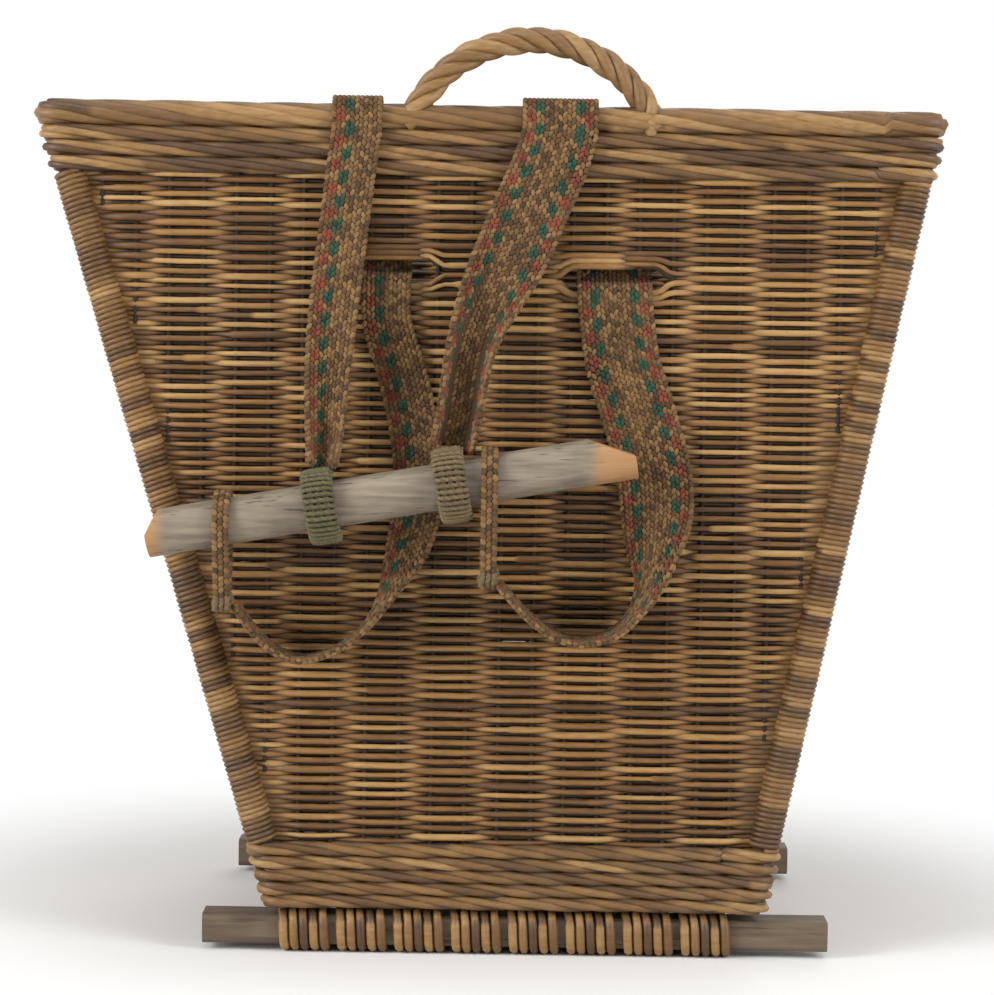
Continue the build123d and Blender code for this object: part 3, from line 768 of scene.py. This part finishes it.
# Stakes, corner posts, base sticks and the handle's bow get the stake willow, darkened as painted shade.
for name in ("strap_wall_stakes", "far_wall_stakes", "left_wall_stakes", "right_wall_stakes"):
    paint_node(name, shaded_willow_stakes)
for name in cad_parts:
    if name.startswith("corner_post") or name in ("base_sticks", "handle_bow"):
        paint_node(name, shaded_willow_stakes)

# %% [markdown]
# ## Straps
# The straps are woven on tablets: seventeen columns of slanting stitches (eleven on the narrower
# strap), tan with two lines of green spots and, outside them, red ones. Each stitch is a small oval.
# Python lays out one point for each stitch on the strap's surface, with the directions of the strap
# there, and a geometry tree puts an oval on each. A thin sheet lies inside, so that no light comes
# through.

# %% Strap colours
def strap_material():
    material, helper, shader = new_material("strap_wool", "woven_strap", 0.9, sheen=0.04)
    place = object_place(helper)
    tone = attribute(helper, "tone")
    dye = attribute(helper, "dye")
    fuzz = helper.noise(place, 900.0, 3.0)
    dyed = (tone * 0.6 + fuzz * 0.4).clamp()
    tan = ramp(helper, (tone * 0.75 + fuzz * 0.35).clamp(),
               [(0.1, (0.042, 0.020, 0.006)), (0.55, (0.135, 0.068, 0.022)), (1.0, (0.255, 0.145, 0.052))])
    red = ramp(helper, dyed, [(0.0, (0.07, 0.016, 0.007)), (1.0, (0.27, 0.060, 0.026))])
    green = ramp(helper, dyed, [(0.0, (0.005, 0.018, 0.010)), (1.0, (0.024, 0.085, 0.042))])
    colour = mix_colour(helper, dye.step(0.4, 0.6), tan, red)
    colour = mix_colour(helper, dye.step(1.4, 1.6), colour, green)
    finish(helper, shader, colour, fuzz, 0.6, 0.0006)
    return material


def cord_material(name, dark, light):
    material, helper, shader = new_material(name, "whipped_cord", 0.85, sheen=0.05)
    fuzz = helper.noise(object_place(helper), 700.0, 3.0)
    tone = attribute(helper, "tone")
    colour = ramp(helper, (tone * 0.4 + fuzz * 0.7 - 0.05).clamp(), [(0.0, dark), (1.0, light)])
    finish(helper, shader, colour, fuzz, 0.6, 0.0006)
    return material


strap_wool = strap_material()
hemp = cord_material("hemp_cord", (0.055, 0.035, 0.014), (0.24, 0.165, 0.078))


# %% The tree of stitches
def stitch_tree():
    inputs = [("Length", "Float", 6.4 * MM), ("Width", "Float", 3.1 * MM), ("Thickness", "Float", 3.4 * MM),
              ("Material", "Material", None)]
    helper, group, output = new_geometry_tree("stitches", inputs)
    get = group.outputs
    ball = helper.add("GeometryNodeMeshUVSphere", inputs={"Segments": 8, "Rings": 5, "Radius": 0.5})
    rotation = helper.add("FunctionNodeAxesToRotation", {"primary_axis": "Z", "secondary_axis": "Y"},
                          {0: stored(helper, "facing", "FLOAT_VECTOR"),
                           1: stored(helper, "along", "FLOAT_VECTOR")})
    size = helper.join(get["Width"], get["Length"], get["Thickness"])
    placed = helper.add("GeometryNodeInstanceOnPoints", inputs={0: get["Geometry"], 2: ball.outputs[0],
                                                                5: rotation.outputs[0], 6: size})
    close_tree(helper, group, output, placed.outputs[0])
    return helper


stitches = stitch_tree()


# %% Lay out a strap
STRAP_WIDTH = 50 * MM
HEM = 15 * MM
COLUMNS = 17
ROW_PITCH = 3.9 * MM
GREEN_COLUMNS = (3, 4, 12, 13)
RED_COLUMNS = (1, 2, 14, 15)
REPEAT_ROWS = 4


def through(rows, t):
    """A smooth curve through rows of numbers, at t from 0 to the last row."""
    last = len(rows) - 1
    index = min(int(t), last - 1)
    f = t - index
    before, first, second, after = (rows[min(max(index + k, 0), last)] for k in (-1, 0, 1, 2))
    return [0.5 * (2 * b + (c - a) * f + (2 * a - 5 * b + 4 * c - d) * f ** 2
                   + (3 * b - a - 3 * c + d) * f ** 3)
            for a, b, c, d in zip(before, first, second, after)]


def strap_frames(stations):
    """Places along a strap, one stitch row apart, each with its directions and its curl."""
    dense = [through(stations, step / 20) for step in range(20 * (len(stations) - 1) + 1)]
    points = [Vector(row[:3]) * MM for row in dense]
    lengths = [0.0]
    for first, second in zip(points, points[1:]):
        lengths.append(lengths[-1] + (second - first).length)
    count = int(lengths[-1] / ROW_PITCH) + 1
    frames = []
    cursor = 0
    for row in range(count + 1):
        wanted = lengths[-1] * row / count
        while cursor < len(lengths) - 2 and lengths[cursor + 1] < wanted:
            cursor += 1
        f = (wanted - lengths[cursor]) / max(lengths[cursor + 1] - lengths[cursor], 1e-9)
        place = points[cursor].lerp(points[cursor + 1], f)
        ahead = points[min(cursor + 6, len(points) - 1)]
        behind = points[max(cursor - 5, 0)]
        frames.append((place, (ahead - behind).normalized(), dense[cursor][3], dense[cursor][4]))
    return frames


def strap_surface(frame_row, width, flat_across):
    """A function that gives a point of a strap and its directions there, across it from -1 to 1."""
    place, tangent, turn, curl = frame_row
    across = Vector((1, 0, 0)) if flat_across else Vector((0, -1, 0)).cross(tangent).normalized()
    across = Matrix.Rotation(math.radians(turn), 3, tangent) @ across
    facing = tangent.cross(across).normalized()
    across = facing.cross(tangent).normalized()
    flat = max(width / 2 - HEM, 2 * MM)
    bend = math.radians(curl)

    def at(u):
        reach = u * width / 2
        over = max(abs(reach) - flat, 0.0)
        lean = bend * min(over / HEM * 1.3, 1.0)
        side = math.copysign(min(abs(reach), flat) + over * math.cos(bend * 0.95), reach)
        point = place + across * side + facing * (over * math.sin(bend * 0.95))
        turned = math.copysign(lean, reach)
        return point, (facing * math.cos(turned) - across * math.sin(turned)).normalized()

    return at, tangent


def put_values(mesh, name, kind, values):
    layer = mesh.attributes.new(name, kind, "POINT")
    flat = [part for value in values for part in value] if kind == "FLOAT_VECTOR" else values
    layer.data.foreach_set("vector" if kind == "FLOAT_VECTOR" else "value", flat)


def dye_of(column, row):
    """Which yarn shows: 0 tan, 1 red, 2 green."""
    if column in GREEN_COLUMNS and row % REPEAT_ROWS < 2:
        return 2.0
    if column in RED_COLUMNS and row % REPEAT_ROWS >= 2:
        return 1.0
    return 0.0


def web_piece(name, rows):
    """The thin web inside a band, as one sheet of quads."""
    across = len(rows[0])
    points = [point for row in rows for point in row]
    quads = [(r * across + c, r * across + c + 1, (r + 1) * across + c + 1, (r + 1) * across + c)
             for r in range(len(rows) - 1) for c in range(across - 1)]
    mesh = bpy.data.meshes.new(name)
    mesh.from_pydata(points, [], quads)
    mesh.materials.append(strap_wool)
    piece = bpy.data.objects.new(name, mesh)
    bpy.context.collection.objects.link(piece)
    return piece


def strap(name, stations, seed, width, first_column=0, columns=COLUMNS, flat_across=False, plain=False):
    """A woven band: stitches on both faces, and a thin web between them."""
    frames = strap_frames(stations)
    chance = random.Random(seed)
    places, facings, alongs, tones, dyes, web = [], [], [], [], [], []
    for row, frame_row in enumerate(frames):
        at, tangent = strap_surface(frame_row, width, flat_across)
        web.append([at(u)[0] for u in (-0.94, -0.6, -0.2, 0.2, 0.6, 0.94)])
        for column in range(columns):
            point, facing = at(((column + 0.5) / columns * 2 - 1) * 0.97)
            slant = math.radians(24 if column % 2 else -24)
            slanted = Matrix.Rotation(slant, 3, facing) @ tangent
            for sign in (1, -1):
                stagger = ROW_PITCH * (0.25 if column % 2 else -0.25)
                shift = tangent * (stagger + chance.uniform(-0.25, 0.25) * MM)
                places.append(point + facing * (sign * 0.7 * MM) + shift)
                facings.append(facing)
                alongs.append(slanted)
                tones.append(chance.random())
                dyes.append(0.0 if plain else dye_of(column + first_column, row))
    mesh = bpy.data.meshes.new(name + ".places")
    mesh.from_pydata(places, [], [])
    put_values(mesh, "facing", "FLOAT_VECTOR", facings)
    put_values(mesh, "along", "FLOAT_VECTOR", alongs)
    put_values(mesh, "tone", "FLOAT", tones)
    put_values(mesh, "dye", "FLOAT", dyes)
    settings = {"Width": width / columns * 1.06, "Length": ROW_PITCH * 1.38, "Thickness": 2.7 * MM,
                "Material": strap_wool}
    pieces = [run_tree(name, stitches, settings, mesh), web_piece(name + "_web", web)]
    return pieces


# %% The straps' routes
CLOSE_Y = -154.05
BEHIND_Y = -154.35
EDGE_Y = -177.85
HINGE_Y = -158.95
HINGE_Z = 538.0
INSIDE_Y = -132.0
TOP_STRAP_Z = 559.0
STICK_TILT = math.radians(10.1)
STICK_MIDDLE = Vector((-60.0, -188.25, 305.0)) * MM
STICK_AXIS = Vector((math.cos(STICK_TILT), 0, math.sin(STICK_TILT)))


def on_stick(x):
    return STICK_MIDDLE + STICK_AXIS * ((x * MM - STICK_MIDDLE.x) / STICK_AXIS.x)


def saddle_route(rim_x, slot_x, slot_z):
    return [
        (rim_x, HINGE_Y + 0.4, HINGE_Z - 1, 0, 0), (rim_x, HINGE_Y + 0.2, 549.0, 0, 0),
        (rim_x, HINGE_Y + 3.5, 556.5, 0, 0), (rim_x, -148.0, TOP_STRAP_Z, 0, 0),
        (rim_x, -138.5, 556.0, 0, 0), (rim_x, -135.2, 548.0, 0, 0),
        (rim_x, -134.8, 536.0, 0, 0), ((rim_x + slot_x) / 2, INSIDE_Y, 500.0, 0, 0),
        (slot_x, INSIDE_Y, slot_z + 22, 0, 0), (slot_x, INSIDE_Y - 0.5, slot_z + 5, 0, 0),
        (slot_x, -137.5, slot_z - 2.5, 0, 0), (slot_x, -147.0, slot_z - 4, 0, 0),
        (slot_x, CLOSE_Y, slot_z - 7, 0, 0), (slot_x, CLOSE_Y, slot_z - 13, 0, 0),
    ]


RIGHT_RIM_X, RIGHT_SLOT_X, RIGHT_SLOT_Z = 45.0, 82.0, 445.0
LEFT_RIM_X, LEFT_SLOT_X, LEFT_SLOT_Z = -86.0, -66.0, 449.0

RIGHT_FRONT = [
    (RIGHT_RIM_X, HINGE_Y, HINGE_Z + 1, 0, 0), (39, HINGE_Y - 2, 518, 0, 0),
    (28, HINGE_Y - 4, 492, 0, 0), (15, HINGE_Y - 8, 460, 0, 15),
    (0, HINGE_Y - 13, 428, 0, 50), (-11, HINGE_Y - 18, 396, 0, 74),
    (-17, HINGE_Y - 22, 356, 0, 80), (-21, -181, 338, 0, 80),
]
LEFT_FRONT = [
    (LEFT_RIM_X, HINGE_Y, HINGE_Z + 1, 0, 0), (-89, HINGE_Y - 2, 515, 0, 0),
    (-94, HINGE_Y - 5, 470, 0, 0), (-99, HINGE_Y - 9, 425, 0, 10),
    (-102, HINGE_Y - 14, 380, 0, 30), (-103, HINGE_Y - 19, 340, 0, 50),
    (-104, -183, 322, 0, 60),
]
RIGHT_TAIL = [
    (RIGHT_SLOT_X, CLOSE_Y, RIGHT_SLOT_Z - 11, 0, 0), (84, BEHIND_Y, 416, 0, 0),
    (88, BEHIND_Y, 390, 0, 0), (95, BEHIND_Y, 369, 0, 0),
    (102, BEHIND_Y, 347, 0, 0), (108, BEHIND_Y - 2, 326, 4, 0),
    (111, BEHIND_Y - 4, 306, 8, 0), (111.5, BEHIND_Y - 13, 284, 30, 0),
    (109, EDGE_Y + 1, 260, 62, 0), (101, EDGE_Y, 236, 83, 0),
    (84, EDGE_Y, 217, 90, 0), (58, EDGE_Y, 212, 90, 0),
    (33, EDGE_Y, 224, 90, 0), (11.5, EDGE_Y, 246, 90, 0),
]
LEFT_TAIL = [
    (LEFT_SLOT_X, CLOSE_Y, LEFT_SLOT_Z - 11, 0, 0), (-65, BEHIND_Y, 414, 0, 0),
    (-57, BEHIND_Y, 388, 0, 0), (-50, BEHIND_Y, 362, 0, 0),
    (-45, BEHIND_Y - 2, 333, 4, 0), (-43.5, BEHIND_Y - 3, 308, 8, 0),
    (-45, BEHIND_Y - 4, 288, 10, 0), (-51, BEHIND_Y - 11, 264, 38, 0),
    (-61, EDGE_Y + 7, 242, 70, 0), (-76, EDGE_Y + 7, 218, 87, 0),
    (-97, EDGE_Y + 7, 202, 90, 0), (-121, EDGE_Y + 7, 197, 90, 0),
    (-143, EDGE_Y + 7, 209, 90, 0), (-159.4, EDGE_Y + 7, 230, 90, 0),
]

strap_sides = {
    "right": (RIGHT_RIM_X, RIGHT_SLOT_X, RIGHT_SLOT_Z, RIGHT_FRONT, RIGHT_TAIL, STRAP_WIDTH, COLUMNS),
    "left": (LEFT_RIM_X, LEFT_SLOT_X, LEFT_SLOT_Z, LEFT_FRONT, LEFT_TAIL, 33 * MM, 11),
}
for seed, (side, (rim_x, slot_x, slot_z, front, tail, width, columns)) in enumerate(strap_sides.items()):
    over = strap(f"{side}_saddle_band", saddle_route(rim_x, slot_x, slot_z), 61 + seed, width,
                 columns=columns, flat_across=True)
    for piece in over:
        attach(piece, "root")
    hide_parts(f"{side}_strap_saddle", f"{side}_strap_neck")
    down = strap(f"{side}_front_band", front, 71 + seed, width, columns=columns)
    for piece in down:
        rim_x * MM
        HINGE_Y * MM
        rim_x * MM
        HINGE_Y * MM
        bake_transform(piece)
    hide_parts(f"{side}_strap_front")
    back = strap(f"{side}_tail_band", tail, 81 + seed, width, columns=columns)
    for piece in back:
        slot_x * MM
        (slot_z - 11) * MM
        slot_x * MM
        (slot_z - 75) * MM
        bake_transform(piece)
    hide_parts(f"{side}_strap_tail")

# %% [markdown]
# ## Loops round the stick
# Each strap's front end is folded round the stick and whipped with cord, in twenty turns over the
# part in front. Each tail ends in a narrow woven loop that hangs over the stick and is knotted.

# %% Upper and lower loops
CORE_RADIUS, CORE_SPREAD, CORE_COUNT = 20.6 * MM, 4.6 * MM, 3
WHIP_INNER, WHIP_OUTER, WHIP_HALF = 18.2 * MM, 23.4 * MM, 9.2 * MM
WHIP_TURNS = 20
WHIP_SWING_DEG = 96
LOWER_WIDTH = 11 * MM
KNOT_RADIUS = 5 * MM
KNOT_LENGTH = 11 * MM
KNOT_TURNS = 3
KNOT_STEPS = 12


olive = cord_material("olive_cord", (0.040, 0.034, 0.013), (0.16, 0.138, 0.060))


def ring_paths(x, radius, spread, count):
    """Rings side by side round the stick."""
    up = Vector((-math.sin(STICK_TILT), 0, math.cos(STICK_TILT)))
    out = Vector((0, -1, 0))
    paths = []
    for index in range(count):
        centre = on_stick(x) + STICK_AXIS * (spread * (index - (count - 1) / 2))
        angles = [FULL_TURN * step / 40 for step in range(40)]
        paths.append([centre + up * (radius * math.cos(a)) + out * (radius * math.sin(a)) for a in angles])
    return paths


def whip_path(x, inner, outer, half, turns, first, last):
    """Cord wound round a ring: in, across, out and back, once for each turn."""
    up = Vector((-math.sin(STICK_TILT), 0, math.cos(STICK_TILT)))
    out = Vector((0, -1, 0))
    middle, reach = (inner + outer) / 2, (outer - inner) / 2
    points = []
    steps = 20
    for step in range(turns * steps + 1):
        swing = math.radians(first + (last - first) * step / (turns * steps))
        wind = FULL_TURN * step / steps
        squared = lambda value: math.copysign(abs(value) ** 0.6, value)
        radius = middle + reach * squared(math.sin(wind))
        along = half * squared(math.cos(wind))
        spoke = out * math.cos(swing) + up * math.sin(swing)
        points.append(on_stick(x) + STICK_AXIS * along + spoke * radius)
    return points


for side, x, cord in (("right", -21.0, hemp), ("left", -104.0, olive)):
    core = twisted(
        f"{side}_loop_core", free_twist, ring_paths(x, CORE_RADIUS, CORE_SPREAD, CORE_COUNT), "harness",
        "woven_strap", closed=True, material=cord, seed=91, lay=20 * MM, across=0.9 * MM, up=0.9 * MM,
        radius=1.7 * MM, strands=3, step=3 * MM, shade=0.3)
    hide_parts(f"{side}_upper_loop")
    winding = whip_path(x, WHIP_INNER, WHIP_OUTER, WHIP_HALF, WHIP_TURNS, -WHIP_SWING_DEG, WHIP_SWING_DEG)
    whip = twisted(
        f"{side}_loop_whipping", free_twist, [winding], "harness", "whipped_cord", material=cord,
        seed=95, lay=5 * MM, across=0.5 * MM, up=0.5 * MM, radius=1.15 * MM, strands=2,
        step=1.2 * MM, sides=6, shade=0.2, rod_length=0.03, unevenness=0.2 * MM)
    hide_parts(f"{side}_upper_whipping")


def drop_route(x, drop, radius=18.5, low=4.5):
    """A narrow band's path over the stick and down to its knot."""
    place = on_stick(x) / MM
    lean = math.asin((radius - low) / drop)

    def at_knot(sign, k):
        return (x, place.y + sign * low * math.cos(lean) * (1 - k / 3), place.z - drop - low * (k / 3), 0, 0)

    stations = [at_knot(-1, k) for k in (3, 1)]
    for step in range(7):
        angle = -lean + (math.pi + 2 * lean) * (step / 6)
        stations.append((x, place.y - radius * math.cos(angle), place.z + radius * math.sin(angle), 0, 0))
    stations += [at_knot(1, k) for k in (1, 3)]
    return stations


def knot_path(middle):
    """Three turns of cord round the foot of a loop."""
    points = []
    for step in range(KNOT_TURNS * KNOT_STEPS + 1):
        angle = FULL_TURN * step / KNOT_STEPS
        along = KNOT_LENGTH * (0.5 - angle / (KNOT_TURNS * FULL_TURN))
        turn = Vector((along, KNOT_RADIUS * math.cos(angle), KNOT_RADIUS * math.sin(angle) - MM))
        points.append(middle + turn)
    return points


for side, x, drop in (("right", 3.0, 62.0), ("left", -167.0, 50.0)):
    loop = strap(f"{side}_lower_band", drop_route(x, drop), 101, LOWER_WIDTH, columns=3,
                 flat_across=True, plain=True)
    for piece in loop:
        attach(piece, "harness")
    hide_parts(f"{side}_lower_loop")
    low = on_stick(x) + Vector((0, 0, -drop * MM))
    twisted(
        f"{side}_lower_knot", free_twist, [knot_path(low)], "harness", "whipped_cord", material=hemp,
        seed=107, lay=5 * MM, across=0.6 * MM, up=0.6 * MM, radius=1.5 * MM, strands=2,
        step=1.2 * MM, shade=0.2, unevenness=0.3 * MM)

# %% [markdown]
# ## Stage, light and camera
# The photograph was taken on white, with soft light from both sides, so that the left of the basket
# is bright on its left edges and the right on its right edges. Two large area lamps do that. A third
# one above fills in, and a fourth lights the far side. The floor and the world show white to the camera.

# %% Floor and world
def stage_plane(name, corners, colour):
    mesh = bpy.data.meshes.new(name)
    mesh.from_pydata(corners, [], [tuple(range(len(corners)))])
    material, helper, shader = new_material(name, "none", 0.9)
    shader.inputs["Base Color"].default_value = (*colour, 1.0)
    shader.inputs["Specular IOR Level"].default_value = 0.1
    mesh.materials.append(material)
    plane = bpy.data.objects.new(name, mesh)
    bpy.context.collection.objects.link(plane)
    return plane


REACH = 6.0
floor_corners = [(-REACH, -REACH, 0), (REACH, -REACH, 0), (REACH, REACH, 0), (-REACH, REACH, 0)]
floor = stage_plane("floor", floor_corners, (0.93, 0.93, 0.92))


def fade_to_white(plane, near, far):
    """Away from the basket the floor turns into plain white, so it has no horizon."""
    tree = plane.data.materials[0].node_tree
    helper = Tree(tree)
    x, y, z = helper.split(object_place(helper))
    away = (x * x + y * y).math("SQRT").step(near, far)
    white = helper.add("ShaderNodeEmission", inputs={"Color": (1.0, 1.0, 1.0, 1.0)})
    mix = helper.add("ShaderNodeMixShader", inputs={0: away, 1: tree.nodes["Principled BSDF"].outputs[0],
                                                    2: white.outputs[0]})
    put(tree, tree.nodes["Material Output"].inputs["Surface"], mix.outputs[0])


fade_to_white(floor, 0.30, 0.62)

AMBIENT = 0.24
world = bpy.data.worlds.new("studio")
bpy.context.scene.world = world
world.use_nodes = True
world_tree = Tree(world.node_tree)
background = world.node_tree.nodes["Background"]
rays = world_tree.add("ShaderNodeLightPath")
to_camera, glossy = [world_tree.value(rays.outputs[name]) for name in ("Is Camera Ray", "Is Glossy Ray")]
seen = to_camera.math("MAXIMUM", glossy)
background.inputs["Color"].default_value = (1.0, 1.0, 1.0, 1.0)
put(world.node_tree, background.inputs["Strength"], seen * (1.0 - AMBIENT) + AMBIENT)


# %% Lamps
def softbox(name, place, target, size, power):
    lamp = bpy.data.lights.new(name, "AREA")
    lamp.shape = "RECTANGLE"
    lamp.size, lamp.size_y = size
    lamp.energy = power
    item = bpy.data.objects.new(name, lamp)
    item.location = place
    item.rotation_euler = (Vector(target) - Vector(place)).to_track_quat("-Z", "Y").to_euler()
    bpy.context.collection.objects.link(item)


softbox("left_softbox", (-1.9, -1.25, 0.9), (0, 0, 0.3), (0.9, 1.5), 50)
softbox("right_softbox", (1.9, -1.25, 0.9), (0, 0, 0.3), (0.9, 1.5), 36)
softbox("top_softbox", (0.0, -0.3, 2.4), (0, 0, 0.3), (1.8, 1.4), 20)
softbox("rear_softbox", (0.6, 2.2, 1.4), (0, 0, 0.3), (1.6, 1.2), 16)

# %% Camera
IMAGE_WIDTH = 994
FOCAL_PIXELS = 2830.0
CAMERA_DISTANCE = 1.84
CAMERA_HEIGHT = 0.42
AIM_X = 7.8 * MM
AIM_Z = 302 * MM
ROLL_DEG = 0.9
panel_y = STRAP_Y - 5.1 * MM

camera_data = bpy.data.cameras.new("camera")
camera_data.sensor_width = 36.0
camera_data.lens = FOCAL_PIXELS / IMAGE_WIDTH * camera_data.sensor_width
camera = bpy.data.objects.new("camera", camera_data)
camera.location = (AIM_X, panel_y - CAMERA_DISTANCE, CAMERA_HEIGHT)
aim = Vector((AIM_X, panel_y, AIM_Z)) - camera.location
camera.rotation_euler = aim.to_track_quat("-Z", "Y").to_euler()
camera.rotation_euler.rotate_axis("Z", math.radians(ROLL_DEG))
bpy.context.collection.objects.link(camera)
bpy.context.scene.camera = camera
bpy.context.scene.view_settings.view_transform = "Standard"
